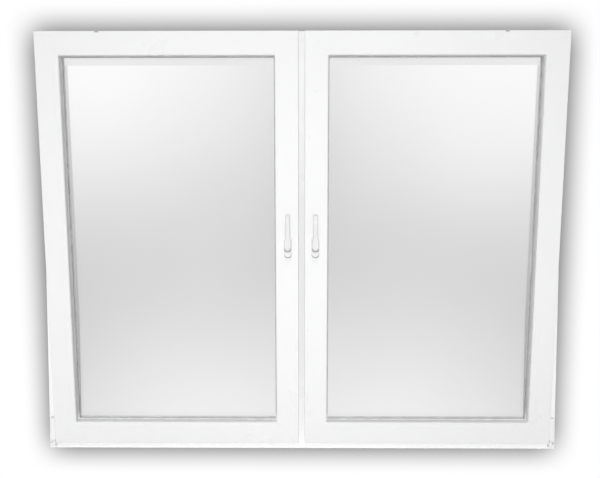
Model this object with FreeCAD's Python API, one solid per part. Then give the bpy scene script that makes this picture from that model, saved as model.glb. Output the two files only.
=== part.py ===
"""Two-sash tilt and turn window in white plastic profiles, both sashes tilted inward.

Room side faces -Y, outside faces +Y, Z is up.  The origin lies on the underside of the
sill, halfway along its length and halfway through its depth.  All sizes are millimetres.
"""
import FreeCAD, Part
import math
import os

V = FreeCAD.Vector

# outer frame
WIDTH = 1765.0            # outside width of the frame
HEIGHT = 1435.0           # outside height of the frame
FRAME_DEPTH = 70.0        # depth of the frame profile
STRIP = 25.0              # part of the frame's face left beside a sash
OVERLAP = 8.0             # how far a sash flange lies over the frame
STOP_RISE = 20.0          # rise of the outer stop above the frame's base
STOP_THICK = 16.0         # thickness of the outer stop
STOP_FALL = 5.0           # slope of the stop's edge, which sheds water outward
MEETING_GAP = 21.0        # part of the mullion's face left between the sashes
EDGE_ROUND = 2.0          # rounding of the profiles' visible edges
WELD_WIDE = 3.0           # cleaned weld seam along the corner mitres
WELD_DEEP = 0.5
DRAIN_LONG = 27.0         # drain slots in the sill's outer face
DRAIN_TALL = 5.0
DRAIN_DEEP = 12.0
DRAIN_UP = 18.0           # slot's middle above the sill's underside
DRAIN_FROM_END = 180.0
DRAIN_FROM_MIDDLE = 170.0

# sash profile: u runs in from the flange edge, v runs out from the room face
SASH_DEPTH = 70.0
SASH_PROUD = 20.0         # the sash face stands this far in front of the frame face
FLANGE_WIDE = 20.0
FLANGE_THICK = 16.0
SASH_FACE = 76.0          # flange edge to daylight edge
REBATE = 18.0             # glass rebate, also the width of the bead
LEG_THICK = 18.0          # outer glazing leg
LEG_FALL = 6.0            # slope of the leg's edge, which sheds water outward
GLASS_SET = 26.0          # room face of the glass, behind the sash's room face
PANE = 4.0
CAVITY = 16.0
GLASS_CLEAR = 4.0         # space round the edge of the glass
GASKET = 2.0              # thickness of the glazing gaskets
GASKET_WIDE = 7.0
GASKET_LIP = 4.0          # how far the room gasket shows past the bead
OUTER_LIP = 1.0           # how far the outer gasket shows past the leg
SPACER_TALL = 12.0
BEAD_SET = 0.8            # the bead's face lies this far behind the sash face
BEAD_NOSE = 2.5           # slope at the bead's daylight edge
BEAD_ROUND = 1.0
SEAL_THICK = 3.0
SEAL_WIDE = 6.0
SEAL_SET = 3.0

# tilt of both sashes about their lower edge
TILT_DEG = 4.0
AXIS_UP = 12.0            # tilt axis above the sash's lower edge
AXIS_IN = 8.0             # tilt axis behind the sash's room face

# locking rail round the sash edge
RAIL_WIDE = 16.0
RAIL_THICK = 2.5
RAIL_SET = 24.0           # near edge of the rail behind the room face
STUD_DIA = 8.0
STUD_RISE = 7.0
STUD_FROM_END = 180.0
KEEP_LONG = 60.0
KEEP_WIDE = 18.0
KEEP_THICK = 4.0
KEEP_LIP = 3.0            # thickness of the keep's hooked edge and its rise
KEEP_SET = 4.0            # keep behind the frame's room face

# handle
HANDLE_UP = 688.5         # spindle above the sash's lower edge
HANDLE_IN = 35.0          # spindle from the sash's meeting edge
ROSETTE_WIDE = 28.0
ROSETTE_TALL = 72.0
ROSETTE_THICK = 11.0
ROSETTE_EDGE = 3.0        # slope round the rosette's front
NECK_DIA = 20.0
LEVER_STAND = 50.0        # lever's front in front of the sash face
LEVER_THICK = 13.0
LEVER_LONG = 112.0        # spindle to tip
LEVER_BASE = 24.0         # width of the lever's hub
LEVER_HEEL = 11.5         # rounding of the lever's lower end
LEVER_HUB = 26.0          # hub's shoulders above the spindle
LEVER_SLOPE = 9.0         # height over which the shoulders run in
LEVER_WAIST = 10.0        # rounding of the shoulders
LEVER_SHANK = 17.5        # width above the shoulders
LEVER_TIP = 16.0
LEVER_END = 5.0           # rounding of the tip's corners
LEVER_ELBOW = 11.0        # rounding where the lever bends into its neck
LEVER_TIP_THICK = 9.5
LEVER_TIP_ROUND = 4.0
LEVER_EDGE = 3.5          # slope round the lever's rims

# hinges at the lower outer corners
HINGE_WIDE = 14.0
HINGE_DEEP = 14.0
HINGE_TALL = 78.0
HINGE_UP = 12.0           # hinge's foot above the sash's lower edge
HINGE_GAP = 2.0
HINGE_ROUND = 3.5
PIN_DIA = 7.0
PIN_RISE = 16.0           # pin's head above the bearing
PIN_CLEAR = 0.4
BEARING_TALL = 18.0
BEARING_PLATE = 3.0
BEARING_WIDE = 24.0
BEARING_DROP = 8.0        # bearing's head below the tilt axis

# stay at the upper outer corners
STAY_BARREL = 12.0
STAY_TALL = 52.0
STAY_PLATE = 3.0
STAY_WIDE = 20.0
STAY_PIN = 6.0
STAY_BAR = 14.0
STAY_BAR_THICK = 3.0
STAY_HEAD = 3.0           # pin and stud above the bar
STAY_REACH = 220.0        # stay's stud from the sash's outer edge
SLIDE_LONG = 46.0         # slide block under the stay's stud
SLIDE_WIDE = 14.0
SLIDE_THICK = 3.0
STAY_CLEAR = 1.5          # stay bar above the highest edge of the tilted sash body

# derived levels
HALF_W = WIDTH / 2
ROOM_Y = -FRAME_DEPTH / 2
OUT_Y = FRAME_DEPTH / 2
BASE = STRIP + OVERLAP
SASH_Y = ROOM_Y - SASH_PROUD
SASH_BOTTOM = STRIP
SASH_TOP = HEIGHT - STRIP
BODY_U = SASH_FACE - REBATE
GLASS_OUT = GLASS_SET + 2 * PANE + CAVITY
AXIS_Y = SASH_Y + AXIS_IN
AXIS_Z = SASH_BOTTOM + AXIS_UP
UPRIGHT = FreeCAD.Rotation(V(1, 0, 0), 90)


def rounded(points):
    """Closed wire in the XY plane through (x, y, radius) points, corners rounded."""
    count = len(points)
    legs = []
    for i in range(count):
        p = V(points[i][0], points[i][1], 0)
        a = V(points[i - 1][0], points[i - 1][1], 0) - p
        b = V(points[(i + 1) % count][0], points[(i + 1) % count][1], 0) - p
        a.normalize()
        b.normalize()
        radius = points[i][2]
        if radius <= 0:
            legs.append((p, None, p))
            continue
        half = a.getAngle(b) / 2
        reach = radius / math.tan(half)
        middle = a + b
        middle.normalize()
        centre = p + middle * (radius / math.sin(half))
        legs.append((p + a * reach, centre - middle * radius, p + b * reach))
    edges = []
    for i in range(count):
        start, bend, end = legs[i]
        if bend is not None:
            edges.append(Part.Arc(start, bend, end).toShape())
        after = legs[(i + 1) % count][0]
        if (after - end).Length > 1e-6:
            edges.append(Part.LineSegment(end, after).toShape())
    return Part.Wire(edges)


def block(x0, x1, y0, y1, z0, z1):
    return Part.makeBox(x1 - x0, y1 - y0, z1 - z0, V(x0, y0, z0))


def weld_groove(corner, long, face, into):
    """Wedge along the mitre of a corner (x, z, dx, dz), sunk into the face at the depth given."""
    x, z, dx, dz = corner
    across = V(dz, 0, -dx)
    across.normalize()
    start = V(x, face, z)
    deep = V(0, into * WELD_DEEP, 0)
    points = [start + deep, start - deep + across * WELD_WIDE, start - deep - across * WELD_WIDE]
    return Part.Face(Part.makePolygon(points + points[:1])).extrude(V(dx * long, 0, dz * long))


def side_bar(points, side, room, x0, x1, z0, z1):
    """Profile of (u, v, radius) points run along one side of a rectangle, mitred at the ends."""
    turn = {"bottom": (V(0, 0, 1), V(x1, room, z0), x1 - x0),
            "top": (V(0, 0, -1), V(x0, room, z1), x1 - x0),
            "left": (V(1, 0, 0), V(x0, room, z0), z1 - z0),
            "right": (V(-1, 0, 0), V(x1, room, z1), z1 - z0)}
    inward, start, length = turn[side]
    along = inward.cross(V(0, 1, 0))
    bar = Part.Face(rounded(points)).extrude(V(0, 0, length))
    bar.Placement = FreeCAD.Placement(FreeCAD.Matrix(inward.x, 0, along.x, start.x,
                                                     inward.y, 1, along.y, start.y,
                                                     inward.z, 0, along.z, start.z, 0, 0, 0, 1))
    corners = {"bottom": [(x0, z0, 1, 1), (x1, z0, -1, 1)], "top": [(x0, z1, 1, -1), (x1, z1, -1, -1)],
               "left": [(x0, z0, 1, 1), (x0, z1, 1, -1)], "right": [(x1, z0, -1, 1), (x1, z1, -1, -1)]}
    first, last = corners[side]
    wide = max(p[0] for p in points) + WELD_WIDE
    near, far = min(p[1] for p in points), max(p[1] for p in points)
    plan = [V(x + reach * dx, room - WELD_WIDE, z + reach * dz)
            for (x, z, dx, dz), reach in ((first, 0), (last, 0), (last, wide), (first, wide))]
    wedge = Part.Face(Part.makePolygon(plan + plan[:1])).extrude(V(0, far + 2 * WELD_WIDE, 0))
    bar = bar.common(wedge).removeSplitter()
    for corner in corners[side]:
        bar = bar.cut(weld_groove(corner, wide, room + near, 1))
        bar = bar.cut(weld_groove(corner, wide, room + far, -1))
    return bar.Solids[0]


def ring(u0, u1, v0, v1, x0, x1, z0, z1):
    """Rectangular ring between two offsets from a rectangle's edge and two depths."""
    outer = block(x0 + u0, x1 - u0, SASH_Y + v0, SASH_Y + v1, z0 + u0, z1 - u0)
    inner = block(x0 + u1, x1 - u1, SASH_Y + v0, SASH_Y + v1, z0 + u1, z1 - u1)
    return outer.cut(inner)


def frame_points():
    stop = FRAME_DEPTH - STOP_THICK
    return [(0, 0, 0), (BASE, 0, EDGE_ROUND), (BASE, stop, 0), (BASE + STOP_RISE, stop, EDGE_ROUND),
            (BASE + STOP_RISE - STOP_FALL, FRAME_DEPTH, EDGE_ROUND), (0, FRAME_DEPTH, 0)]


def drain_slots():
    """Long slots that let the water out of the sill's chamber."""
    half, tall = DRAIN_LONG / 2, DRAIN_TALL / 2
    outline = rounded([(-half, -tall, tall), (half, -tall, tall), (half, tall, tall), (-half, tall, tall)])
    slots = []
    for x in (DRAIN_FROM_MIDDLE, HALF_W - DRAIN_FROM_END):
        for side in (-1, 1):
            slot = Part.Face(outline).extrude(V(0, 0, DRAIN_DEEP))
            slot.Placement = FreeCAD.Placement(V(side * x, OUT_Y, DRAIN_UP), UPRIGHT)
            slots.append(slot)
    return slots


def build_frame():
    """Head, sill, jambs and the mullion."""
    box = (-HALF_W, HALF_W, 0, HEIGHT)
    nodes = {"frame_head": side_bar(frame_points(), "top", ROOM_Y, *box),
             "frame_sill": side_bar(frame_points(), "bottom", ROOM_Y, *box),
             "frame_left_jamb": side_bar(frame_points(), "left", ROOM_Y, *box),
             "frame_right_jamb": side_bar(frame_points(), "right", ROOM_Y, *box)}
    for slot in drain_slots():
        nodes["frame_sill"] = nodes["frame_sill"].cut(slot)
    half = MEETING_GAP / 2 + OVERLAP
    wide = half + STOP_RISE
    stop = OUT_Y - STOP_THICK
    outline = [(-half, ROOM_Y, EDGE_ROUND), (half, ROOM_Y, EDGE_ROUND), (half, stop, 0),
               (wide, stop, EDGE_ROUND), (wide - STOP_FALL, OUT_Y, EDGE_ROUND),
               (STOP_FALL - wide, OUT_Y, EDGE_ROUND), (-wide, stop, EDGE_ROUND), (-half, stop, 0)]
    mullion = Part.Face(rounded(outline)).extrude(V(0, 0, HEIGHT - 2 * BASE))
    mullion.translate(V(0, 0, BASE))
    nodes["mullion"] = mullion.cut(nodes["frame_head"]).cut(nodes["frame_sill"])
    return nodes


def sash_points():
    return [(0, 0, EDGE_ROUND), (BODY_U, 0, 0), (BODY_U, SASH_DEPTH - LEG_THICK, 0),
            (SASH_FACE, SASH_DEPTH - LEG_THICK, EDGE_ROUND), (SASH_FACE - LEG_FALL, SASH_DEPTH, EDGE_ROUND),
            (FLANGE_WIDE, SASH_DEPTH, 0), (FLANGE_WIDE, RAIL_SET + RAIL_WIDE, 0),
            (FLANGE_WIDE + RAIL_THICK, RAIL_SET + RAIL_WIDE, 0), (FLANGE_WIDE + RAIL_THICK, RAIL_SET, 0),
            (FLANGE_WIDE, RAIL_SET, 0), (FLANGE_WIDE, FLANGE_THICK, 0), (0, FLANGE_THICK, 0)]


def bead_points():
    back = GLASS_SET - GASKET
    return [(BODY_U, BEAD_SET, 0), (SASH_FACE - BEAD_NOSE, BEAD_SET, BEAD_ROUND),
            (SASH_FACE, BEAD_SET + BEAD_NOSE, BEAD_ROUND), (SASH_FACE, back, 0), (BODY_U, back, 0)]


def build_sash(name, x0, x1, outer):
    """One sash with its glass, gaskets and locking rail, still shut.  outer is -1 or 1."""
    box = (x0, x1, SASH_BOTTOM, SASH_TOP)
    hinge, lock = ("left", "right") if outer < 0 else ("right", "left")
    sides = {"top": "top_rail", "bottom": "bottom_rail", hinge: "hinge_stile", lock: "lock_stile"}
    nodes = {}
    for side, part in sides.items():
        nodes[name + "_" + part] = side_bar(sash_points(), side, SASH_Y, *box)
        nodes[name + "_" + part.split("_")[0] + "_bead"] = side_bar(bead_points(), side, SASH_Y, *box)
    edge = BODY_U + GLASS_CLEAR
    for part, depth in (("room_pane", GLASS_SET), ("outer_pane", GLASS_OUT - PANE)):
        nodes[name + "_" + part] = block(x0 + edge, x1 - edge, SASH_Y + depth, SASH_Y + depth + PANE,
                                         SASH_BOTTOM + edge, SASH_TOP - edge)
    nodes[name + "_spacer"] = ring(edge, edge + SPACER_TALL, GLASS_SET + PANE, GLASS_OUT - PANE, *box)
    lip = SASH_FACE + GASKET_LIP
    nodes[name + "_bead_gasket"] = ring(lip - GASKET_WIDE, lip, GLASS_SET - GASKET, GLASS_SET, *box)
    lip = SASH_FACE + OUTER_LIP
    nodes[name + "_outer_gasket"] = ring(lip - GASKET_WIDE, lip, GLASS_OUT, GLASS_OUT + GASKET, *box)
    nodes[name + "_flange_seal"] = ring(SEAL_SET, SEAL_SET + SEAL_WIDE, FLANGE_THICK,
                                        FLANGE_THICK + SEAL_THICK, *box)
    rail = ring(FLANGE_WIDE, FLANGE_WIDE + RAIL_THICK, RAIL_SET, RAIL_SET + RAIL_WIDE, *box)
    middle = SASH_Y + RAIL_SET + RAIL_WIDE / 2
    lock_x = x1 - FLANGE_WIDE if outer < 0 else x0 + FLANGE_WIDE
    top = SASH_TOP - FLANGE_WIDE
    x = lock_x + outer * STUD_FROM_END
    studs = [(V(lock_x, middle, z), V(-outer, 0, 0)) for z in stud_heights()]
    studs += [(V(x, middle, top), V(0, 0, 1)), (V(x, middle, SASH_BOTTOM + FLANGE_WIDE), V(0, 0, -1))]
    for place, way in studs:
        rail = rail.fuse(Part.makeCylinder(STUD_DIA / 2, STUD_RISE, place, way))
    x = x0 + STAY_REACH if outer < 0 else x1 - STAY_REACH
    rail = rail.fuse(block(x - SLIDE_LONG / 2, x + SLIDE_LONG / 2,
                           middle - SLIDE_WIDE / 2, middle + SLIDE_WIDE / 2, top, top + SLIDE_THICK))
    nodes[name + "_lock_rail"] = rail.removeSplitter()
    return nodes


def stud_heights():
    return (SASH_BOTTOM + STUD_FROM_END + FLANGE_WIDE, SASH_TOP - STUD_FROM_END - FLANGE_WIDE)


def build_handle(name, x):
    """Rosette and upright lever on the lock stile, spindle at x."""
    place = FreeCAD.Placement(V(x, SASH_Y, SASH_BOTTOM + HANDLE_UP), UPRIGHT)
    half_w, half_t = ROSETTE_WIDE / 2, ROSETTE_TALL / 2
    plate = rounded([(-half_w, -half_t, half_w), (half_w, -half_t, half_w),
                     (half_w, half_t, half_w), (-half_w, half_t, half_w)])
    rosette = Part.Face(plate).extrude(V(0, 0, ROSETTE_THICK))
    front = [e for e in rosette.Edges if e.BoundBox.ZMin > ROSETTE_THICK / 2]
    rosette = rosette.makeChamfer(ROSETTE_EDGE, front)
    rosette.Placement = place
    base, shank, tip = LEVER_BASE / 2, LEVER_SHANK / 2, LEVER_TIP / 2
    waist = LEVER_HUB + LEVER_SLOPE
    blade = rounded([(-base, -base, LEVER_HEEL), (base, -base, LEVER_HEEL),
                     (base, LEVER_HUB, LEVER_WAIST), (shank, waist, LEVER_WAIST),
                     (tip, LEVER_LONG, LEVER_END), (-tip, LEVER_LONG, LEVER_END),
                     (-shank, waist, LEVER_WAIST), (-base, LEVER_HUB, LEVER_WAIST)])
    lever = Part.Face(blade).extrude(V(0, 0, LEVER_THICK))
    rims = [e for e in lever.Edges if e.BoundBox.ZLength < LEVER_THICK / 2]
    lever = lever.makeChamfer(LEVER_EDGE, rims)
    bend = rounded([(-base, 0, 0), (LEVER_LONG, LEVER_THICK - LEVER_TIP_THICK, 0),
                    (LEVER_LONG, LEVER_THICK, LEVER_TIP_ROUND), (-base, LEVER_THICK, LEVER_ELBOW)])
    bend = Part.Face(bend).extrude(V(0, 0, LEVER_BASE))
    bend.Placement = FreeCAD.Placement(FreeCAD.Matrix(0, 0, 1, -base, 1, 0, 0, 0, 0, 1, 0, 0, 0, 0, 0, 1))
    lever = lever.common(bend)
    back = LEVER_STAND - LEVER_THICK
    lever.translate(V(0, 0, back))
    neck = Part.makeCylinder(NECK_DIA / 2, back - ROSETTE_THICK + LEVER_EDGE, V(0, 0, ROSETTE_THICK))
    lever = lever.fuse(neck).removeSplitter()
    lever.Placement = place
    return {name + "_rosette": rosette, name + "_lever": lever}


def tilt(shape):
    shape = shape.copy()
    shape.rotate(V(0, AXIS_Y, AXIS_Z), V(1, 0, 0), TILT_DEG)
    return shape


def build_hinge(name, edge, outer):
    """Corner hinge on the sash and the pivot bearing on the frame; edge is the sash's outer edge."""
    x = edge + outer * HINGE_WIDE / 2
    half, deep = HINGE_WIDE / 2, HINGE_DEEP / 2
    foot = SASH_BOTTOM + HINGE_UP
    cap = block(x - half, x + half, AXIS_Y - deep, AXIS_Y + deep, foot, foot + HINGE_TALL)
    outside = [e for e in cap.Edges
               if e.BoundBox.ZLength > HINGE_TALL / 2 and outer * (e.BoundBox.XMin - x) > 0]
    cap = tilt(cap.makeFillet(HINGE_ROUND, outside))
    head = AXIS_Z - BEARING_DROP
    low, high = head - BEARING_TALL, head - HINGE_GAP
    cap = cap.cut(Part.makeCylinder(PIN_DIA / 2 + PIN_CLEAR, PIN_RISE + PIN_CLEAR, V(x, AXIS_Y, high)))
    barrel = Part.makeCylinder(half, high - low, V(x, AXIS_Y, low))
    web = block(x - half, x + half, AXIS_Y, ROOM_Y, low, high)
    tip = edge + outer * BEARING_WIDE
    plate = block(min(edge, tip), max(edge, tip), ROOM_Y - BEARING_PLATE, ROOM_Y, low, high)
    pin = Part.makeCylinder(PIN_DIA / 2, PIN_RISE, V(x, AXIS_Y, high))
    bearing = barrel.fuse(web).fuse(plate).fuse(pin).removeSplitter()
    return {name + "_corner_hinge": cap, name + "_pivot_bearing": bearing}


def build_stay(name, edge, outer, rail):
    """Stay bearing on the frame and the stay arm that reaches the slide on the tilted rail."""
    half = STAY_BARREL / 2
    x = edge + outer * half
    y = ROOM_Y - STAY_PLATE - half
    level = tilt(Part.Vertex(edge, SASH_Y + SASH_DEPTH, SASH_TOP - FLANGE_WIDE)).Point.z + STAY_CLEAR
    low = level - STAY_TALL
    barrel = Part.makeCylinder(half, STAY_TALL, V(x, y, low))
    tip = edge + outer * STAY_WIDE
    plate = block(min(edge, tip), max(edge, tip), ROOM_Y - STAY_PLATE, ROOM_Y, low, level)
    web = block(x - half, x + half, y, ROOM_Y, low, level)
    pin = Part.makeCylinder(STAY_PIN / 2, STAY_BAR_THICK + STAY_HEAD, V(x, y, level))
    bearing = barrel.fuse(plate).fuse(web).fuse(pin).removeSplitter()
    end = tilt(Part.Vertex(edge - outer * STAY_REACH, SASH_Y + RAIL_SET + RAIL_WIDE / 2,
                           SASH_TOP - FLANGE_WIDE + SLIDE_THICK)).Point
    start = V(x, y, level)
    run = V(end.x, end.y, level) - start
    wide = STAY_BAR / 2
    outline = rounded([(-wide, -wide, wide), (run.Length + wide, -wide, wide),
                       (run.Length + wide, wide, wide), (-wide, wide, wide)])
    arm = Part.Face(outline).extrude(V(0, 0, STAY_BAR_THICK))
    arm.Placement = FreeCAD.Placement(start, FreeCAD.Rotation(V(1, 0, 0), run))
    foot = end - V(0, 0, SLIDE_THICK)
    stud = Part.makeCylinder(STAY_PIN / 2, level + STAY_BAR_THICK + STAY_HEAD - foot.z, foot)
    stud = max(stud.cut(rail).Solids, key=lambda solid: solid.CenterOfMass.z)
    return {name + "_stay_bearing": bearing, name + "_stay_arm": arm.cut(pin).fuse(stud).removeSplitter()}


def build_frame_side(name, x0, x1, outer):
    """Stop seal and keeps that stay on the frame round one sash."""
    inset = FLANGE_WIDE + SEAL_SET - SEAL_WIDE / 2
    stop = OUT_Y - STOP_THICK - SASH_Y
    seal = ring(inset, inset + SEAL_WIDE, stop - SEAL_THICK, stop, x0, x1, SASH_BOTTOM, SASH_TOP)
    near, far = ROOM_Y + KEEP_SET, ROOM_Y + KEEP_SET + KEEP_WIDE
    lock_x = x1 - FLANGE_WIDE if outer < 0 else x0 + FLANGE_WIDE
    x, z = lock_x + outer * STUD_FROM_END, HEIGHT - BASE
    half = KEEP_LONG / 2
    head = block(x - half, x + half, near, far, z - KEEP_THICK, z)
    hook = block(x - half, x + half, near, near + KEEP_LIP, z - KEEP_THICK - KEEP_LIP, z)
    x, z = outer * (MEETING_GAP / 2 + OVERLAP), stud_heights()[1]
    reach = x + outer * KEEP_THICK
    side = block(min(x, reach), max(x, reach), near, far, z - half, z + half)
    reach += outer * KEEP_LIP
    lip = block(min(x, reach), max(x, reach), near, near + KEEP_LIP, z - half, z + half)
    return {name + "_stop_seal": seal, name + "_head_keep": head.fuse(hook).removeSplitter(),
            name + "_side_keep": side.fuse(lip).removeSplitter()}


def main():
    os.makedirs("parts", exist_ok=True)
    nodes = build_frame()
    for name, outer in (("left", -1), ("right", 1)):
        edge = outer * (HALF_W - STRIP)
        meeting = outer * MEETING_GAP / 2
        x0, x1 = min(edge, meeting), max(edge, meeting)
        sash = build_sash(name, x0, x1, outer)
        sash.update(build_handle(name, meeting + outer * HANDLE_IN))
        for node, shape in sash.items():
            nodes[node] = tilt(shape)
        nodes.update(build_hinge(name, edge, outer))
        nodes.update(build_stay(name, edge, outer, nodes[name + "_lock_rail"]))
        nodes.update(build_frame_side(name, x0, x1, outer))
    for node, shape in nodes.items():
        shape.exportStep("parts/" + node + ".step")


main()
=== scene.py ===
"""Looks of a two-sash tilt and turn window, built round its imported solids.

Room side faces -Y, outside faces +Y, Z is up, and every size is in metres.
"""
import math
from collections import namedtuple

import bmesh
import bpy
from mathutils import Matrix, Vector


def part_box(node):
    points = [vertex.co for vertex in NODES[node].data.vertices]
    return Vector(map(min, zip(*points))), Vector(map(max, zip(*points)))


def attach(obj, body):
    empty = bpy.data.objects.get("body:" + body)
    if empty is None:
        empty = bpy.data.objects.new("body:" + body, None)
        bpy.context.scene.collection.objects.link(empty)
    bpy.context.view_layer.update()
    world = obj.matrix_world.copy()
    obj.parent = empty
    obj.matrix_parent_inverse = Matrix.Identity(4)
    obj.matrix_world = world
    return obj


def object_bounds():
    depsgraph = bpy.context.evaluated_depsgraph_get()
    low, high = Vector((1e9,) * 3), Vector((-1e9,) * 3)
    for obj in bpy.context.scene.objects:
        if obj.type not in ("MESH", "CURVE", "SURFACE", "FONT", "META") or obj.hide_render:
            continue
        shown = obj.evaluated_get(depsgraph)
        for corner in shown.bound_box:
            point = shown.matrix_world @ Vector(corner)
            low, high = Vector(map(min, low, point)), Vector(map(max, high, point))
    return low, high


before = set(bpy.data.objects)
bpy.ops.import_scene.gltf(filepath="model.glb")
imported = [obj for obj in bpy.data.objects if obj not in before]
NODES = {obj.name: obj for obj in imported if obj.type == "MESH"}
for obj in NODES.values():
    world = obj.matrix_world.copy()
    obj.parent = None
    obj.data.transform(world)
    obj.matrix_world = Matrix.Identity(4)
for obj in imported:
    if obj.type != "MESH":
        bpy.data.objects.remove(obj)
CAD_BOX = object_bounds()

bl_info = {
    "name": "Tilt and turn window",
    "version": (1, 0, 0),
    "blender": (4, 5, 0),
    "location": "3D View > Sidebar > Window",
    "description": "Finishes, small fixings, stage and camera of a two-sash tilt and turn window",
    "category": "Object",
}

SIDES = (("left", -1), ("right", 1))

# Finishes: tone of the patches against the base tone, fineness of the patches, lowest and highest
# roughness, fineness and depth of the grain
Finish = namedtuple("Finish", "fade patch smooth dull grain depth metallic")
PLASTIC = Finish(fade=0.993, patch=2.6, smooth=0.27, dull=0.31, grain=700.0, depth=0.05, metallic=0.0)
COVER = Finish(fade=0.97, patch=20.0, smooth=0.3, dull=0.4, grain=900.0, depth=0.06, metallic=0.0)
RUBBER = Finish(fade=0.85, patch=30.0, smooth=0.5, dull=0.7, grain=1500.0, depth=0.15, metallic=0.0)
ALUMINIUM = Finish(fade=0.9, patch=12.0, smooth=0.45, dull=0.6, grain=900.0, depth=0.1, metallic=0.3)
STEEL = Finish(fade=0.85, patch=25.0, smooth=0.28, dull=0.42, grain=1200.0, depth=0.1, metallic=1.0)
LACQUER = Finish(fade=0.99, patch=15.0, smooth=0.2, dull=0.3, grain=1100.0, depth=0.05, metallic=0.0)
GRAIN_RELIEF = 0.0004
GLASS_PATCH = 1.7
GLASS_IOR = 1.45
PANE_SHADOW = (0.95, 0.95, 0.95, 1)
# The lowest legs of the bead gaskets and spacers are painted lighter than the rest, as if lit from above:
# painted light
LEG = 0.007               # width of a bead gasket's leg
LEG_BLEND = 0.03          # height over which its tone changes above the lowest leg

# Painted shade on the lower rims of the handles, standing for the shading of the levers' rounded heels and
# the
# shadow under the rosettes: its inner and outer edge, measured from the piece's edge, its softness and its
# rise up the sides
Rim = namedtuple("Rim", "inner outer soft rise")
LEVER_RIM = Rim(inner=-0.001, outer=0.001, soft=0.009, rise=0.45)
ROSETTE_RIM = Rim(inner=-0.0032, outer=0.002, soft=0.0012, rise=0.0)

ARRIS_ANGLE = math.radians(35)    # sharper edges than this are rounded
ARRIS_STEPS = 2

# Screws: fitting, direction the heads face and their places, on the right side
SCREWS = (
    ("head_keep", (0, 0, -1), ((0.1925, -0.0205, 1.398), (0.2285, -0.0205, 1.398))),
    ("side_keep", (1, 0, 0), ((0.0225, -0.0205, 1.192), (0.0225, -0.0205, 1.228))),
    ("pivot_bearing", (0, -1, 0), ((0.8765, -0.038, 0.019),)),
    ("stay_bearing", (0, -1, 0), ((0.8735, -0.038, 1.35), (0.8735, -0.038, 1.383))),
)
HEAD_SIDES = 24
HEAD_TOP = 0.82           # radius of the flat top, in head radii
RECESS_REACH = 0.6        # half length of the cross recess, in head radii
RECESS_HALF = 0.16        # half width of its arms, in head radii
RECESS_DEPTH = 0.7        # in head heights

# Clips on the upper edge of the tilted sashes
CLIP_ACROSS = 0.655               # from the window's middle
CLIP_EDGE = (-0.15075, 1.4061)    # upper front edge of a sash, y and z
CLIP_SUNK = 0.0001                # how deep they press into the sash
TILT = math.radians(4)

# Soft shadow painted on backdrop and floor
SCREEN_GAMMA = 2.2
SHADOW_HALF = 0.9057      # half width on the backdrop, at the floor
SHADOW_LEAN = 0.0226      # how much wider it gets with the height
SHADOW_TOP = 1.4587
SHADOW_FOOT = 0.030       # lower edge, below the floor's level at the backdrop
# The photograph's viewpoint: the camera's place, and the point from which the floor's shadow is laid out
VIEWPOINT = (0.0082, -2.1603, 0.8631)
VIEWPOINT_CLEAR = 0.5     # nearer to it than this, the floor's shadow grows no wider

# View through the panes, painted on the backdrop in screen tones
INSIDE = 0.024            # margin of the painted view, hidden behind the frame
PANE_START = 0.1          # inner edge of a pane, from the window's middle
PANE_WIDTH = 0.69
PANE_TOP = 1.335
PANE_HEIGHT = 1.25
# each is a value at the pane's inner edge and its change towards the outer edge
VIEW_TOP = (0.967, 0.057)
VIEW_FOOT = (0.974, -0.008)
BAND_PLACE = (0.492, 0.131)
BAND_DEPTH = (0.103, 0.018)
BAND_SPREAD = 0.359
EDGE_DEPTH = 0.024        # how much darker the view is at both edges
# painted shade: the darker strip beyond each pane's outer edge stands for the frame seen through the glass in
# the sash's shade, darker towards the bottom where the sash comes closer
REVEAL_EDGE = 0.797       # outer reveal, from the window's middle
REVEAL_LEAN = 0.027       # how it leans out above REVEAL_BEND
REVEAL_BEND = 0.45
REVEAL_TONE = 0.686
REVEAL_RISE = 0.149       # how much lighter it gets with the height
UPPER_EDGE = 1.337        # above this height the view has one tone
UPPER_TONE = 0.935
PANE_SHEEN = 0.15         # share of white that the panes add

GROUND_REACH = 12.0
GROUND_WHITE = (0.9, 0.9, 0.9, 1)
# Area lamps: size, place and the point they face
AREA_LAMPS = {
    "front": ((0.12, 0.3), (0, -2.6, 0.86), (0, 0, 0.7)),
    "side": ((1.2, 1.2), (-2.6, -1.6, 0.9), (0, 0, 0.5)),
    "rear": ((2.0, 1.5), (-0.8, 3.0, 1.7), (0, 0, 0.72)),
}
# Far lamps: height angle and spread
FAR_LAMPS = {
    "slanting": (math.radians(20), math.radians(4)),
    "steep": (math.radians(42), math.radians(5)),
}
SENSOR = 36.0
FOCAL = 620.0 / 600.0     # focal length and picture width, both in pixels

# Colour sockets of a Mix node
MIX_FIRST, MIX_SECOND, MIX_RESULT = 6, 7, 2


def nodes_ending(*endings):
    return [NODES[n] for n in sorted(NODES) if n.endswith(endings)]


# Sizes and colours a user would change


class ProfileProps(bpy.types.PropertyGroup):
    sash: bpy.props.FloatVectorProperty(
        name="Sash plastic", description="White of the sash profiles and glazing beads", subtype="COLOR",
        size=3, min=0, max=1, default=(0.84, 0.842, 0.842))
    # painted light: the frame and mullion get a lighter white than the sash, though of the same plastic, so
    # that they stay bright in the narrow gap between the sashes and below them
    fixed: bpy.props.FloatVectorProperty(
        name="Frame plastic", description="White of the frame and the mullion", subtype="COLOR",
        size=3, min=0, max=1, default=(0.94, 0.942, 0.942))
    cover: bpy.props.FloatVectorProperty(
        name="Covers", description="White of the hinge covers", subtype="COLOR",
        size=3, min=0, max=1, default=(0.88, 0.885, 0.885))
    arris: bpy.props.FloatProperty(
        name="Arris", description="Rounding of the sharp edges of covers and handles",
        unit="LENGTH", subtype="DISTANCE", default=0.0006, min=0, max=0.003, precision=5)


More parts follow.
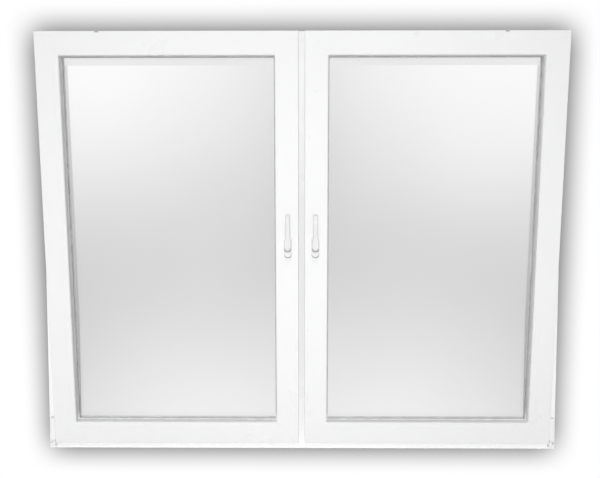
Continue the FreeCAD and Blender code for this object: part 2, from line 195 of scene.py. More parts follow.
class GlassProps(bpy.types.PropertyGroup):
    tint: bpy.props.FloatVectorProperty(
        name="Glass", description="Tint of the clear panes", subtype="COLOR",
        size=3, min=0, max=1, default=(0.99, 0.99, 0.99))
    film_gap: bpy.props.FloatProperty(
        name="Film gap", description="Hair-thin space between a pane and its gaskets",
        unit="LENGTH", subtype="DISTANCE", default=0.00015, min=0, max=0.001, precision=6)
    film: bpy.props.FloatVectorProperty(
        name="Film", description="Tint of the faint film on the panes", subtype="COLOR",
        size=3, min=0, max=1, default=(0.976, 0.976, 0.976))


class TrimProps(bpy.types.PropertyGroup):
    seal: bpy.props.FloatVectorProperty(
        name="Seals", description="Rubber of the seals between sash and frame", subtype="COLOR",
        size=3, min=0, max=1, default=(0.66, 0.665, 0.665))
    bead: bpy.props.FloatVectorProperty(
        name="Bead gaskets", description="Rubber of the gaskets between beads and panes", subtype="COLOR",
        size=3, min=0, max=1, default=(0.46, 0.464, 0.465))
    # painted light: the lowest leg of the bead gaskets is lighter than the rest, as if lit from above
    foot: bpy.props.FloatVectorProperty(
        name="Lowest gaskets", description="Tone of the lowest leg of the bead gaskets", subtype="COLOR",
        size=3, min=0, max=1, default=(0.76, 0.763, 0.763))
    # painted light: the outer gaskets get a much paler rubber than the seals, to offset the shade they sit in
    # behind the beads
    outer: bpy.props.FloatVectorProperty(
        name="Outer gaskets", description="Rubber of the gaskets outside the panes", subtype="COLOR",
        size=3, min=0, max=1, default=(0.95, 0.953, 0.953))
    bar: bpy.props.FloatVectorProperty(
        name="Spacers", description="Aluminium of the spacer bars", subtype="COLOR",
        size=3, min=0, max=1, default=(0.78, 0.784, 0.784))
    # painted light: the lowest leg of the spacer bars is lighter than the rest, as if lit from above
    bar_foot: bpy.props.FloatVectorProperty(
        name="Lowest spacers", description="Tone of the lowest leg of the spacer bars", subtype="COLOR",
        size=3, min=0, max=1, default=(0.94, 0.942, 0.942))
    zinc: bpy.props.FloatVectorProperty(
        name="Fittings", description="Plated steel of the fittings", subtype="COLOR",
        size=3, min=0, max=1, default=(0.60, 0.61, 0.615))
    lacquer: bpy.props.FloatVectorProperty(
        name="Levers", description="White lacquer of the levers", subtype="COLOR",
        size=3, min=0, max=1, default=(0.75, 0.753, 0.752))
    # painted light: the rosettes get a lighter white than the levers, though both are the same lacquer, to
    # offset the levers' shadow on them
    rosette: bpy.props.FloatVectorProperty(
        name="Rosettes", description="White lacquer of the rosettes", subtype="COLOR",
        size=3, min=0, max=1, default=(0.91, 0.912, 0.911))
    # painted shade along the lower rims of levers and rosettes, where the rounded heels turn from the light
    # and the rosettes shade the sash
    shade: bpy.props.FloatVectorProperty(
        name="Handle shade", description="Tone along the lower rims of levers and rosettes", subtype="COLOR",
        size=3, min=0, max=1, default=(0.36, 0.362, 0.362))


class ScrewProps(bpy.types.PropertyGroup):
    radius: bpy.props.FloatProperty(
        name="Head radius", description="Radius of the screw heads", unit="LENGTH", subtype="DISTANCE",
        default=0.0032, min=0.001, max=0.006, precision=4)
    height: bpy.props.FloatProperty(
        name="Head height", description="Height of the screw heads, with the part that is sunk",
        unit="LENGTH", subtype="DISTANCE", default=0.0007, min=0.0002, max=0.002, precision=5)
    sunk: bpy.props.FloatProperty(
        name="Sunk", description="How deep the heads sit in their plates", unit="LENGTH",
        subtype="DISTANCE", default=0.0001, min=0, max=0.001, precision=5)


class ClipProps(bpy.types.PropertyGroup):
    width: bpy.props.FloatProperty(
        name="Width", description="Width of the clips on the upper edge", unit="LENGTH", subtype="DISTANCE",
        default=0.013, min=0.004, max=0.04, precision=4)
    depth: bpy.props.FloatProperty(
        name="Depth", description="How far the clips reach back over the edge", unit="LENGTH",
        subtype="DISTANCE", default=0.012, min=0.003, max=0.02, precision=4)
    lip: bpy.props.FloatProperty(
        name="Lip", description="How far the clips hang over the front face", unit="LENGTH",
        subtype="DISTANCE", default=0.005, min=0.001, max=0.02, precision=4)
    sheet: bpy.props.FloatProperty(
        name="Thickness", description="Thickness of the clips", unit="LENGTH", subtype="DISTANCE",
        default=0.0012, min=0.0003, max=0.004, precision=5)


class StageProps(bpy.types.PropertyGroup):
    wall_gap: bpy.props.FloatProperty(
        name="Wall gap", description="Space between the frame's outer face and the backdrop",
        unit="LENGTH", subtype="DISTANCE", default=0.004, min=0)
    reach: bpy.props.FloatProperty(
        name="Shadow reach", description="Reach of the soft shadow on the backdrop",
        unit="LENGTH", subtype="DISTANCE", default=0.103, min=0)
    floor_reach: bpy.props.FloatProperty(
        name="Floor reach", description="Reach of the soft shadow on the floor behind the window",
        unit="LENGTH", subtype="DISTANCE", default=0.23, min=0)
    dark: bpy.props.FloatProperty(
        name="Shadow depth", description="How dark the soft shadow is at the window's edge",
        subtype="FACTOR", default=0.34, min=0, max=1)
    eye: bpy.props.FloatVectorProperty(
        name="Camera", description="Place of the camera", unit="LENGTH", subtype="TRANSLATION",
        size=3, default=VIEWPOINT)
    pitch: bpy.props.FloatProperty(
        name="Pitch", description="How far the camera looks down", subtype="ANGLE",
        default=math.radians(3.478))
    turn: bpy.props.FloatProperty(
        name="Turn", description="How far the camera looks to the left", subtype="ANGLE",
        default=math.radians(0.379))
    focal: bpy.props.FloatProperty(
        name="Focal length", description="Focal length in picture widths", default=FOCAL)
    world: bpy.props.FloatProperty(
        name="Surround light", description="Strength of the even light from all round",
        default=0.29, min=0)
    front: bpy.props.FloatProperty(
        name="Front light", description="Power of the lamp behind the camera", unit="POWER",
        default=26.5, min=0)
    slanting: bpy.props.FloatProperty(
        name="Slanting light", description="Strength of the even light from a little above the room",
        default=0.55, min=0)
    steep: bpy.props.FloatProperty(
        name="Steep light", description="Strength of the even light from high above the room",
        default=0.375, min=0)
    side: bpy.props.FloatProperty(
        name="Side light", description="Power of the soft lamp at the left", unit="POWER",
        default=4.0, min=0)
    rear: bpy.props.FloatProperty(
        name="Rear light", description="Power of the soft lamp outside", unit="POWER",
        default=52.0, min=0)


# Shared effects


def add(tree, kind, **values):
    """Adds a node; each value goes to a property of that name or else to an input."""
    node = tree.nodes.new(kind)
    for key, value in values.items():
        if key in node.bl_rna.properties:
            setattr(node, key, value)
        else:
            node.inputs[key.replace("_", " ")].default_value = value
    return node


def sums(tree):
    """Returns a function that adds a math node of one operation and gives its result."""
    def calc(operation, *terms):
        node = add(tree, "ShaderNodeMath", operation=operation)
        for socket, term in zip(node.inputs, terms):
            if isinstance(term, bpy.types.NodeSocket):
                tree.links.new(term, socket)
            else:
                socket.default_value = term
        return node.outputs["Value"]
    return calc


def limit(calc, value, lowest, highest):
    return calc("MAXIMUM", calc("MINIMUM", value, highest), lowest)


def blend(calc, mask, first, second):
    """first where the mask is zero, second where it is one."""
    return calc("ADD", calc("MULTIPLY", first, calc("SUBTRACT", 1.0, mask)), calc("MULTIPLY", second, mask))


def position(tree):
    coord = add(tree, "ShaderNodeTexCoord")
    parts = add(tree, "ShaderNodeSeparateXYZ")
    tree.links.new(coord.outputs["Object"], parts.inputs["Vector"])
    return parts.outputs["X"], parts.outputs["Y"], parts.outputs["Z"]


def new_group(name, colours, values, outputs):
    """A shader node group; colours and values are its inputs with defaults, outputs are names and kinds."""
    tree = bpy.data.node_groups.new(name, "ShaderNodeTree")
    for kind, inputs in (("NodeSocketColor", colours), ("NodeSocketFloat", values)):
        for label, default in inputs.items():
            tree.interface.new_socket(label, in_out="INPUT", socket_type=kind).default_value = default
    for label, kind in outputs.items():
        tree.interface.new_socket(label, in_out="OUTPUT", socket_type=kind)
    return tree, tree.nodes.new("NodeGroupInput").outputs, tree.nodes.new("NodeGroupOutput").inputs


def shared(name, make):
    return bpy.data.node_groups.get(name) or make()


def place_group(tree, group, **values):
    node = tree.nodes.new("ShaderNodeGroup")
    node.node_tree = group
    for key, value in values.items():
        if not isinstance(value, float):
            value = (*value[:3], 1.0)
        node.inputs[key].default_value = value
    return node


def mottle_group():
    """Broad soft patches between two tones."""
    tree, given, result = new_group(
        "broad_mottle", {"Tone": (1, 1, 1, 1), "Shade": (0.9, 0.9, 0.9, 1)}, {"Scale": 3.0},
        {"Colour": "NodeSocketColor"})
    coord = add(tree, "ShaderNodeTexCoord")
    noise = add(tree, "ShaderNodeTexNoise", Detail=1.0, Roughness=0.5)
    ramp = add(tree, "ShaderNodeMapRange", interpolation_type="SMOOTHERSTEP", From_Min=0.3, From_Max=0.7)
    mix = add(tree, "ShaderNodeMix", data_type="RGBA")
    link = tree.links.new
    link(coord.outputs["Object"], noise.inputs["Vector"])
    link(given["Scale"], noise.inputs["Scale"])
    link(noise.outputs["Fac"], ramp.inputs["Value"])
    link(ramp.outputs["Result"], mix.inputs["Factor"])
    link(given["Tone"], mix.inputs[MIX_FIRST])
    link(given["Shade"], mix.inputs[MIX_SECOND])
    link(mix.outputs[MIX_RESULT], result["Colour"])
    return tree


def grain_group():
    """Fine surface grain: a height for bump and a roughness that varies a little."""
    tree, given, result = new_group(
        "fine_grain", {}, {"Scale": 900.0, "Smooth": 0.25, "Dull": 0.4},
        {"Roughness": "NodeSocketFloat", "Height": "NodeSocketFloat"})
    coord = add(tree, "ShaderNodeTexCoord")
    fine = add(tree, "ShaderNodeTexNoise", Detail=3.0, Roughness=0.6)
    broad = add(tree, "ShaderNodeTexNoise", Scale=7.0, Detail=3.0, Roughness=0.6)
    rough = add(tree, "ShaderNodeMapRange", interpolation_type="SMOOTHERSTEP", From_Min=0.25, From_Max=0.75)
    link = tree.links.new
    link(coord.outputs["Object"], fine.inputs["Vector"])
    link(coord.outputs["Object"], broad.inputs["Vector"])
    link(given["Scale"], fine.inputs["Scale"])
    link(broad.outputs["Fac"], rough.inputs["Value"])
    link(given["Smooth"], rough.inputs["To Min"])
    link(given["Dull"], rough.inputs["To Max"])
    link(rough.outputs["Result"], result["Roughness"])
    link(fine.outputs["Fac"], result["Height"])
    return tree


def leg_group():
    """Tones of a ring round a pane: a lighter one for its lowest leg, painted light as if lit from above, and
    one for the rest, each with a shade.
    """
    tree, given, result = new_group(
        "lowest_leg", {"Foot": (0.9, 0.9, 0.9, 1), "Rest": (0.5, 0.5, 0.5, 1)},
        {"Start": 0.1, "End": 0.12, "Fade": 0.9},
        {"Tone": "NodeSocketColor", "Shade": "NodeSocketColor"})
    ramp = add(tree, "ShaderNodeMapRange", interpolation_type="SMOOTHSTEP")
    tone = add(tree, "ShaderNodeMix", data_type="RGBA")
    shade = add(tree, "ShaderNodeMix", data_type="RGBA")
    shade.inputs[MIX_FIRST].default_value = (0, 0, 0, 1)
    link = tree.links.new
    link(position(tree)[2], ramp.inputs["Value"])
    link(given["Start"], ramp.inputs["From Min"])
    link(given["End"], ramp.inputs["From Max"])
    link(ramp.outputs["Result"], tone.inputs["Factor"])
    link(given["Foot"], tone.inputs[MIX_FIRST])
    link(given["Rest"], tone.inputs[MIX_SECOND])
    link(given["Fade"], shade.inputs["Factor"])
    link(tone.outputs[MIX_RESULT], shade.inputs[MIX_SECOND])
    link(tone.outputs[MIX_RESULT], result["Tone"])
    link(shade.outputs[MIX_RESULT], result["Shade"])
    return tree


def arc_group():
    """Mask of the lower part of an upright ring; with more rise it reaches further up the sides."""
    tree, given, result = new_group(
        "lower_arc", {},
        {"Across": 0.0, "Up": 0.0, "Inner": 0.01, "Outer": 0.012, "Soft": 0.001, "Rise": 0.0},
        {"Mask": "NodeSocketFloat"})
    calc = sums(tree)
    x, _, z = position(tree)
    aside = calc("SUBTRACT", calc("ABSOLUTE", x), given["Across"])
    below = calc("SUBTRACT", given["Up"], z)
    squares = calc("ADD", calc("MULTIPLY", aside, aside), calc("MULTIPLY", below, below))
    far = calc("MAXIMUM", calc("SQRT", squares), 0.0001)

    def ramp(past):
        return limit(calc, calc("ADD", calc("DIVIDE", past, given["Soft"]), 1.0), 0.0, 1.0)

    ring = calc("MULTIPLY", ramp(calc("SUBTRACT", far, given["Inner"])),
                ramp(calc("SUBTRACT", given["Outer"], far)))
    down = limit(calc, calc("ADD", calc("DIVIDE", below, far), given["Rise"]), 0.0, 1.0)
    tree.links.new(calc("MULTIPLY", ring, down), result["Mask"])
    return tree


def new_material(name):
    material = bpy.data.materials.new(name)
    material.use_nodes = True
    tree = material.node_tree
    return material, tree, tree.nodes["Principled BSDF"]


def grained(name, tone, finish, foot=None):
    """Principled material with broad patches of tone and a fine grain; foot is the lowest leg's tone, painted
    lighter as if lit from above.
    """
    material, tree, shader = new_material(name)
    mottle = place_group(tree, shared("broad_mottle", mottle_group), Tone=tone,
                         Shade=[c * finish.fade for c in tone], Scale=finish.patch)
    fine = place_group(tree, shared("fine_grain", grain_group), Scale=finish.grain, Smooth=finish.smooth,
                       Dull=finish.dull)
    bump = add(tree, "ShaderNodeBump", Strength=finish.depth, Distance=GRAIN_RELIEF)
    link = tree.links.new
    link(mottle.outputs["Colour"], shader.inputs["Base Color"])
    link(fine.outputs["Roughness"], shader.inputs["Roughness"])
    link(fine.outputs["Height"], bump.inputs["Height"])
    link(bump.outputs["Normal"], shader.inputs["Normal"])
    shader.inputs["Metallic"].default_value = finish.metallic
    if foot:
        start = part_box("left_bead_gasket")[0].z + LEG
        legs = place_group(tree, shared("lowest_leg", leg_group), Foot=foot, Rest=tone, Start=start,
                           End=start + LEG_BLEND, Fade=finish.fade)
        link(legs.outputs["Tone"], mottle.inputs["Tone"])
        link(legs.outputs["Shade"], mottle.inputs["Shade"])
    return material


def paint_rim_shade(material, node, rim, tone):
    """Paints shade on the round lower rim of a handle piece, where its own shading and shadow fall; the rim
    is measured from the piece's edge.
    """
    tree = material.node_tree
    low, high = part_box(node)
    half = (high.x - low.x) / 2
    arc = place_group(tree, shared("lower_arc", arc_group), Across=abs(low.x + high.x) / 2, Up=low.z + half,
                      Inner=half + rim.inner, Outer=half + rim.outer, Soft=rim.soft, Rise=rim.rise)
    mix = add(tree, "ShaderNodeMix", data_type="RGBA")
    base = tree.nodes["Principled BSDF"].inputs["Base Color"]
    link = tree.links.new
    link(arc.outputs["Mask"], mix.inputs["Factor"])
    link(base.links[0].from_socket, mix.inputs[MIX_FIRST])
    mix.inputs[MIX_SECOND].default_value = (*tone, 1.0)
    link(mix.outputs[MIX_RESULT], base)


def dress(objects, material):
    for obj in objects:
        obj.data.materials.clear()
        obj.data.materials.append(material)


def soften(objects, width):
    """Rounds sharp edges with a modifier."""
    for obj in objects:
        bevel = obj.modifiers.new("arris", "BEVEL")
        bevel.width = width
        bevel.segments = ARRIS_STEPS
        bevel.limit_method = "ANGLE"
        bevel.angle_limit = ARRIS_ANGLE
        bevel.harden_normals = True
        even = obj.modifiers.new("even", "WEIGHTED_NORMAL")
        even.keep_sharp = True


# Pieces


class SASH_OT_profiles(bpy.types.Operator):
    """Finishes the frame, mullion, sash profiles and glazing beads in white plastic, the frame's painted
    lighter
    """
    bl_idname = "sash.profiles"
    bl_label = "Profiles"

    def execute(self, context):
        props = context.scene.window_profiles
        fixed = nodes_ending("_head", "_sill", "_jamb", "mullion")
        dress(fixed, grained("frame_plastic", props.fixed, PLASTIC))
        sashes = [o for o in nodes_ending("_rail", "_stile", "_bead") if not o.name.endswith("_lock_rail")]
        dress(sashes, grained("sash_plastic", props.sash, PLASTIC))
        return {"FINISHED"}


class SASH_OT_glass(bpy.types.Operator):
    """Clears the panes and lets light through them"""
    bl_idname = "sash.glass"
    bl_label = "Glass"

    def execute(self, context):
        props = context.scene.window_glass
        material, tree, shader = new_material("clear_glass")
        mottle = place_group(tree, shared("broad_mottle", mottle_group), Tone=props.tint, Shade=props.film,
                             Scale=GLASS_PATCH)
        shader.inputs["Roughness"].default_value = 0.0
        shader.inputs["IOR"].default_value = GLASS_IOR
        shader.inputs["Transmission Weight"].default_value = 1.0
        path = add(tree, "ShaderNodeLightPath")
        either = add(tree, "ShaderNodeMath", operation="MAXIMUM")
        clear = add(tree, "ShaderNodeBsdfTransparent", Color=PANE_SHADOW)
        mix = add(tree, "ShaderNodeMixShader")
        link = tree.links.new
        link(mottle.outputs["Colour"], shader.inputs["Base Color"])
        link(path.outputs["Is Shadow Ray"], either.inputs[0])
        link(path.outputs["Is Diffuse Ray"], either.inputs[1])
        link(either.outputs["Value"], mix.inputs["Fac"])
        link(shader.outputs["BSDF"], mix.inputs[1])
        link(clear.outputs["BSDF"], mix.inputs[2])
        link(mix.outputs["Shader"], tree.nodes["Material Output"].inputs["Surface"])
        panes = nodes_ending("_pane")
        dress(panes, material)
        for pane in panes:
            thin = pane.modifiers.new("film", "DISPLACE")
            thin.mid_level = 0.0
            thin.strength = -props.film_gap
        return {"FINISHED"}


class SASH_OT_trim(bpy.types.Operator):
    """Finishes seals, gaskets and spacer bars, with painted light on the lowest legs round the panes and on
    the outer gaskets
    """
    bl_idname = "sash.trim"
    bl_label = "Seals and spacers"

    def execute(self, context):
        props = context.scene.window_trim
        for ending, name, tone, finish, foot in (
                ("_seal", "grey_rubber", props.seal, RUBBER, None),
                ("_bead_gasket", "bead_rubber", props.bead, RUBBER, props.foot),
                ("_outer_gasket", "outer_rubber_lightened", props.outer, RUBBER, None),
                ("_spacer", "spacer_aluminium", props.bar, ALUMINIUM, props.bar_foot)):
            dress(nodes_ending(ending), grained(name, tone, finish, foot))
        return {"FINISHED"}


class SASH_OT_fittings(bpy.types.Operator):
    """Finishes the plated steel fittings and the white hinge covers"""
    bl_idname = "sash.fittings"
    bl_label = "Fittings"

    def execute(self, context):
        profiles = context.scene.window_profiles
        zinc = context.scene.window_trim.zinc
        dress(nodes_ending("_lock_rail", "_keep", "_stay_arm"), grained("plated_steel", zinc, STEEL))
        covers = nodes_ending("_corner_hinge", "_bearing")
        dress(covers, grained("cover_plastic", profiles.cover, COVER))
        soften(covers, profiles.arris)
        return {"FINISHED"}


class SASH_OT_handles(bpy.types.Operator):
    """Finishes levers and rosettes in white lacquer, with painted shade on their lower rims and the rosettes
    painted lighter
    """
    bl_idname = "sash.handles"
    bl_label = "Handles"

    def execute(self, context):
        props = context.scene.window_trim
        for ending, name, tone, rim in (
                ("_lever", "lever_lacquer", props.lacquer, LEVER_RIM),
                ("_rosette", "rosette_lacquer", props.rosette, ROSETTE_RIM)):
            lacquer = grained(name, tone, LACQUER)
            paint_rim_shade(lacquer, "left" + ending, rim, props.shade)
            dress(nodes_ending(ending), lacquer)
        soften(nodes_ending("_lever", "_rosette"), context.scene.window_profiles.arris)
        return {"FINISHED"}


def add_screw(mesh, place, axis, props):
    """A low round head with a cross recess, standing on a plate at place."""
    turn = Matrix.Translation(place) @ Vector(axis).to_track_quat("Z", "Y").to_matrix().to_4x4()
    radius, long, slim = props.radius, props.radius * RECESS_REACH, props.radius * RECESS_HALF

    def ring(points, up):
        return [mesh.verts.new(turn @ Vector((x, y, up))) for x, y in points]

    def circle(size):
        angles = [math.tau * (i - 1) / HEAD_SIDES for i in range(HEAD_SIDES)]
        return [(size * math.cos(a), size * math.sin(a)) for a in angles]

    arm = ((long, -slim), (long, slim), (slim, slim))
    quarters = ((1, 0), (0, 1), (-1, 0), (0, -1))
    cross = [(c * x - s * y, s * x + c * y) for c, s in quarters for x, y in arm]
    top = props.height - props.sunk
    foot, brow = ring(circle(radius), -props.sunk), ring(circle(radius * HEAD_TOP), top)
    lip, well = ring(cross, top), ring(cross, top - props.height * RECESS_DEPTH)
    mesh.faces.new(foot[::-1])
    mesh.faces.new(well)
    for i in range(HEAD_SIDES):
        mesh.faces.new((foot[i - 1], foot[i], brow[i], brow[i - 1]))
    # each side of the cross faces two sides of the round top
    for i in range(len(cross)):
        mesh.faces.new((lip[i - 1], lip[i], well[i], well[i - 1]))
        rim = [brow[(2 * i + k) % HEAD_SIDES] for k in range(3)]
        mesh.faces.new((*rim, lip[(i + 1) % len(cross)], lip[i]))


def mesh_piece(name, mesh, material):
    """Turns an edited mesh into a piece of the scene."""
    bmesh.ops.recalc_face_normals(mesh, faces=mesh.faces)
    data = bpy.data.meshes.new(name)
    mesh.to_mesh(data)
    mesh.free()
    piece = bpy.data.objects.new(name, data)
    bpy.context.scene.collection.objects.link(piece)
    dress([piece], bpy.data.materials[material])
    return piece


class SASH_OT_screws(bpy.types.Operator):
    """Sets cross-head screws in the keeps and bearings of the frame"""
    bl_idname = "sash.screws"
    bl_label = "Screws"

    def execute(self, context):
        props = context.scene.window_screws
        for side, way in SIDES:
            for fitting, axis, spots in SCREWS:
                mesh = bmesh.new()
                for x, y, z in spots:
                    add_screw(mesh, (way * x, y, z), (way * axis[0], axis[1], axis[2]), props)
                piece = mesh_piece(f"{side}_{fitting}_screws", mesh, "plated_steel")
                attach(piece, "root")
        return {"FINISHED"}


class SASH_OT_clips(bpy.types.Operator):
    """Hooks a small rubber clip over each sash's upper edge, at the stay"""
    bl_idname = "sash.clips"
    bl_label = "Stay clips"

    def execute(self, context):
        props = context.scene.window_clips
        out = Vector((0, -math.cos(TILT), -math.sin(TILT)))
        up = Vector((0, -math.sin(TILT), math.cos(TILT)))
        thick = props.sheet
        hook = ((-props.depth, thick), (-props.depth, -CLIP_SUNK), (-CLIP_SUNK, -CLIP_SUNK),
                (-CLIP_SUNK, -props.lip), (thick, -props.lip), (thick, thick))
        for side, way in SIDES:
            mesh = bmesh.new()
            ends = []
            for half in (-props.width / 2, props.width / 2):
                middle = Vector((way * CLIP_ACROSS + half, *CLIP_EDGE))
                ends.append([mesh.verts.new(middle + out * a + up * b) for a, b in hook])
            mesh.faces.new(ends[0])
            mesh.faces.new(ends[1][::-1])
            for i in range(len(hook)):
                mesh.faces.new((ends[0][i - 1], ends[0][i], ends[1][i], ends[1][i - 1]))
            piece = mesh_piece(f"{side}_stay_clip", mesh, "bead_rubber")
            soften([piece], thick / 3)
            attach(piece, "root")
        return {"FINISHED"}


# Stage


def plane(name, corners):
    """A large ground that casts no shadow and isn't part of the window."""
    mesh = bpy.data.meshes.new(name)
    mesh.from_pydata(corners, [], [(0, 1, 2, 3)])
    obj = bpy.data.objects.new(name, mesh)
    bpy.context.scene.collection.objects.link(obj)
    obj.visible_shadow = False
    return obj


def halo_group():
    """Tone of a soft shadow round a rectangle, from the signed distances to its sides."""
    tree, given, result = new_group(
        "soft_halo", {}, {"Across": 0.0, "Along": 0.0, "Reach": 0.1, "Dark": 0.3},
        {"Colour": "NodeSocketColor"})
    calc = sums(tree)

    def cover(away):
        step = limit(calc, calc("DIVIDE", away, given["Reach"]), -1.0, 1.0)
        near = calc("SUBTRACT", 1.0, calc("ABSOLUTE", step))
        swing = calc("MULTIPLY", calc("SIGN", step), calc("SUBTRACT", 1.0, calc("MULTIPLY", near, near)))
        return calc("MULTIPLY_ADD", swing, -0.5, 0.5)

    both = calc("MULTIPLY", cover(given["Across"]), cover(given["Along"]))
    dark = calc("MULTIPLY", calc("MULTIPLY", given["Dark"], 2.0), both)
    tree.links.new(calc("POWER", calc("SUBTRACT", 1.0, dark), SCREEN_GAMMA), result["Colour"])
    return tree


def view_group():
    """Tone of the view through the panes, by distance from the window's middle and height."""
    tree, given, result = new_group(
        "pane_view", {}, {"Across": 0.0, "Up": 0.0}, {"Colour": "NodeSocketColor"})
    calc = sums(tree)
    across, up = given["Across"], given["Up"]
    outward = calc("MULTIPLY_ADD", across, 1 / PANE_WIDTH, -PANE_START / PANE_WIDTH)
    down = calc("MULTIPLY_ADD", up, -1 / PANE_HEIGHT, PANE_TOP / PANE_HEIGHT)

    def from_inner(value, change):
        return calc("MULTIPLY_ADD", outward, change, value)

    high, low = from_inner(*VIEW_TOP), from_inner(*VIEW_FOOT)
    base = calc("MULTIPLY_ADD", calc("SUBTRACT", low, high), down, high)
    offset = calc("DIVIDE", calc("SUBTRACT", down, from_inner(*BAND_PLACE)), BAND_SPREAD)
    bell = calc("POWER", math.e, calc("MULTIPLY", calc("MULTIPLY", offset, offset), -1.0))
    band = calc("MULTIPLY", bell, from_inner(*BAND_DEPTH))
    side = calc("MULTIPLY_ADD", outward, 2.0, -1.0)
    edge = calc("MULTIPLY", calc("MULTIPLY", side, side), EDGE_DEPTH)
    tone = calc("SUBTRACT", calc("SUBTRACT", base, band), edge)
    above = calc("MAXIMUM", calc("SUBTRACT", up, REVEAL_BEND), 0.0)
    reveal_edge = calc("MULTIPLY_ADD", above, REVEAL_LEAN, REVEAL_EDGE)
    reveal = calc("MULTIPLY_ADD", up, REVEAL_RISE, REVEAL_TONE)
    tone = blend(calc, calc("GREATER_THAN", across, reveal_edge), tone, reveal)
    tone = blend(calc, calc("GREATER_THAN", up, UPPER_EDGE), tone, UPPER_TONE)
    light = calc("POWER", tone, SCREEN_GAMMA)
    clear = 1 - PANE_SHEEN
    tree.links.new(calc("MULTIPLY_ADD", light, 1 / clear, -PANE_SHEEN / clear), result["Colour"])
    return tree


def seen_directly(tree):
    """One where a ray comes from the camera, a mirror or through glass."""
    path = add(tree, "ShaderNodeLightPath").outputs
    calc = sums(tree)
    return calc("MAXIMUM", calc("MAXIMUM", path["Is Camera Ray"], path["Is Glossy Ray"]),
                path["Is Transmission Ray"])


def shown_material(name, paint, one_sided):
    """Ground that shows its painted tone to the eye and stays matt white for the bounced light."""
    material, tree, shader = new_material(name)
    tree.nodes.remove(shader)
    link = tree.links.new
    shown = add(tree, "ShaderNodeEmission", Strength=1.0)
    link(paint(tree), shown.inputs["Color"])
    matt = add(tree, "ShaderNodeBsdfDiffuse", Color=GROUND_WHITE)
    mix = add(tree, "ShaderNodeMixShader")
    link(seen_directly(tree), mix.inputs["Fac"])
    link(matt.outputs["BSDF"], mix.inputs[1])
    link(shown.outputs["Emission"], mix.inputs[2])
    end = mix.outputs["Shader"]
    if one_sided:
        face = add(tree, "ShaderNodeNewGeometry")
        clear = add(tree, "ShaderNodeBsdfTransparent")
        front = add(tree, "ShaderNodeMixShader")
        link(face.outputs["Backfacing"], front.inputs["Fac"])
        link(end, front.inputs[1])
        link(clear.outputs["BSDF"], front.inputs[2])
        end = front.outputs["Shader"]
    link(end, tree.nodes["Material Output"].inputs["Surface"])
    return material


def floor_tone(tree, props):
    """Shadow round the foot, laid out so that from the photograph's viewpoint it goes on from the backdrop's.

    It is fixed to the floor and doesn't move with the camera.
    """
    x, y, _ = position(tree)
    calc = sums(tree)
    halo = place_group(tree, shared("soft_halo", halo_group), Reach=props.reach, Dark=props.dark)
    back = CAD_BOX[1].y + props.wall_gap
    eye_x, eye_y, eye_z = VIEWPOINT
    ahead = calc("MAXIMUM", calc("SUBTRACT", y, eye_y), VIEWPOINT_CLEAR)
    grow = calc("MAXIMUM", calc("DIVIDE", back - eye_y, ahead), 1.0)
    across = calc("ABSOLUTE", calc("MULTIPLY_ADD", calc("SUBTRACT", x, eye_x), grow, eye_x))
    below = calc("MULTIPLY", calc("SUBTRACT", grow, 1.0), eye_z)
    behind = calc("MULTIPLY", calc("SUBTRACT", y, back), props.reach / props.floor_reach)
    tree.links.new(calc("SUBTRACT", across, SHADOW_HALF), halo.inputs["Across"])
    tree.links.new(calc("SUBTRACT", calc("MAXIMUM", below, behind), SHADOW_FOOT), halo.inputs["Along"])
    return halo.outputs["Colour"]


def wall_tone(tree, props):
    """Shadow round the window and, inside its frame, the view through the panes."""
    x, _, z = position(tree)
    calc = sums(tree)
    link = tree.links.new
    across = calc("ABSOLUTE", x)
    halo = place_group(tree, shared("soft_halo", halo_group), Reach=props.reach, Dark=props.dark)
    half = calc("MULTIPLY_ADD", z, SHADOW_LEAN, SHADOW_HALF)
    link(calc("SUBTRACT", across, half), halo.inputs["Across"])
    foot = calc("MULTIPLY_ADD", z, -1.0, -SHADOW_FOOT)
    link(calc("MAXIMUM", calc("SUBTRACT", z, SHADOW_TOP), foot), halo.inputs["Along"])
    view = place_group(tree, shared("pane_view", view_group))
    link(across, view.inputs["Across"])
    link(z, view.inputs["Up"])
    inside = calc("MULTIPLY", calc("LESS_THAN", across, CAD_BOX[1].x - INSIDE),
                  calc("LESS_THAN", z, CAD_BOX[1].z - INSIDE))
    mix = add(tree, "ShaderNodeMix", data_type="RGBA")
    link(inside, mix.inputs["Factor"])
    link(halo.outputs["Colour"], mix.inputs[MIX_FIRST])
    link(view.outputs["Colour"], mix.inputs[MIX_SECOND])
    return mix.outputs[MIX_RESULT]


def link_lamp(lamp):
    """Keeps a lamp out of mirrors and panes, so that only its light shows."""
    lamp.visible_camera = False
    lamp.visible_glossy = False
    lamp.visible_transmission = False
    bpy.context.scene.collection.objects.link(lamp)


def area_lamp(name, power):
    size, place, aim = AREA_LAMPS[name]
    data = bpy.data.lights.new(name, "AREA")
    data.shape = "RECTANGLE"
    data.size, data.size_y = size
    data.energy = power
    lamp = bpy.data.objects.new(name, data)
    lamp.location = place
    lamp.rotation_euler = (Vector(aim) - lamp.location).to_track_quat("-Z", "Y").to_euler()
    link_lamp(lamp)


def far_lamp(name, strength):
    """Even light that comes square on from the room side, from above."""
    rise, spread = FAR_LAMPS[name]
    data = bpy.data.lights.new(name, "SUN")
    data.energy = strength
    data.angle = spread
    lamp = bpy.data.objects.new(name, data)
    lamp.rotation_euler = (math.pi / 2 - rise, 0, 0)
    link_lamp(lamp)


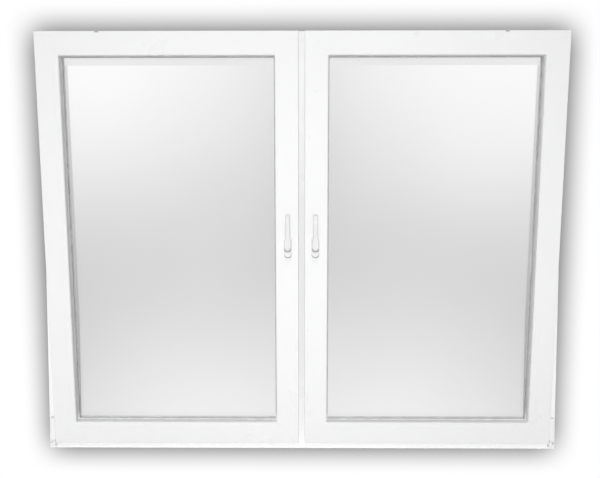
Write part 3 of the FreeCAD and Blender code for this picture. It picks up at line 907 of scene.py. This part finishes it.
class SASH_OT_stage(bpy.types.Operator):
    """Sets up floor, backdrop, light and camera"""
    bl_idname = "sash.stage"
    bl_label = "Stage"

    def execute(self, context):
        scene = context.scene
        props = scene.window_stage
        far = GROUND_REACH
        back = CAD_BOX[1].y + props.wall_gap
        floor = plane("floor", [(-far, -far, 0), (far, -far, 0), (far, far, 0), (-far, far, 0)])
        floor.data.materials.append(shown_material("pale_floor", lambda tree: floor_tone(tree, props), False))
        wall = plane("backdrop", [(-far, back, -far), (far, back, -far), (far, back, far), (-far, back, far)])
        wall.data.materials.append(shown_material("pale_backdrop", lambda tree: wall_tone(tree, props), True))
        wall.visible_diffuse = False
        scene.view_settings.view_transform = "Standard"

        world = bpy.data.worlds.new("surround")
        world.use_nodes = True
        scene.world = world
        tree = world.node_tree
        ground = tree.nodes["Background"]
        ground.inputs["Color"].default_value = (1, 1, 1, 1)
        level = sums(tree)("MULTIPLY_ADD", seen_directly(tree), 1 - props.world, props.world)
        tree.links.new(level, ground.inputs["Strength"])

        area_lamp("front", props.front)
        far_lamp("slanting", props.slanting)
        far_lamp("steep", props.steep)
        area_lamp("side", props.side)
        area_lamp("rear", props.rear)

        data = bpy.data.cameras.new("camera")
        data.sensor_width = SENSOR
        data.lens = SENSOR * props.focal
        camera = bpy.data.objects.new("camera", data)
        camera.location = props.eye
        camera.rotation_euler = (math.pi / 2 - props.pitch, 0, props.turn)
        scene.collection.objects.link(camera)
        scene.camera = camera
        return {"FINISHED"}


class SASH_PT_window(bpy.types.Panel):
    """Lists the steps that finish the window"""
    bl_idname = "SASH_PT_window"
    bl_label = "Tilt and turn window"
    bl_space_type = "VIEW_3D"
    bl_region_type = "UI"
    bl_category = "Window"

    def draw(self, context):
        for step in STEPS:
            self.layout.operator(step.bl_idname)


STEPS = (SASH_OT_profiles, SASH_OT_glass, SASH_OT_trim, SASH_OT_fittings, SASH_OT_handles, SASH_OT_screws,
         SASH_OT_clips, SASH_OT_stage)
GROUPS = {"window_profiles": ProfileProps, "window_glass": GlassProps, "window_trim": TrimProps,
          "window_screws": ScrewProps, "window_clips": ClipProps, "window_stage": StageProps}


def register():
    for cls in (*GROUPS.values(), *STEPS, SASH_PT_window):
        bpy.utils.register_class(cls)
    for name, cls in GROUPS.items():
        setattr(bpy.types.Scene, name, bpy.props.PointerProperty(type=cls))


def unregister():
    for name in GROUPS:
        delattr(bpy.types.Scene, name)
    for cls in (SASH_PT_window, *reversed(STEPS), *reversed(GROUPS.values())):
        bpy.utils.unregister_class(cls)


def main():
    register()
    for step in STEPS:
        module, name = step.bl_idname.split(".")
        if getattr(getattr(bpy.ops, module), name)() != {"FINISHED"}:
            raise RuntimeError(step.bl_label + " did not finish")


if __name__ == "__main__":
    main()
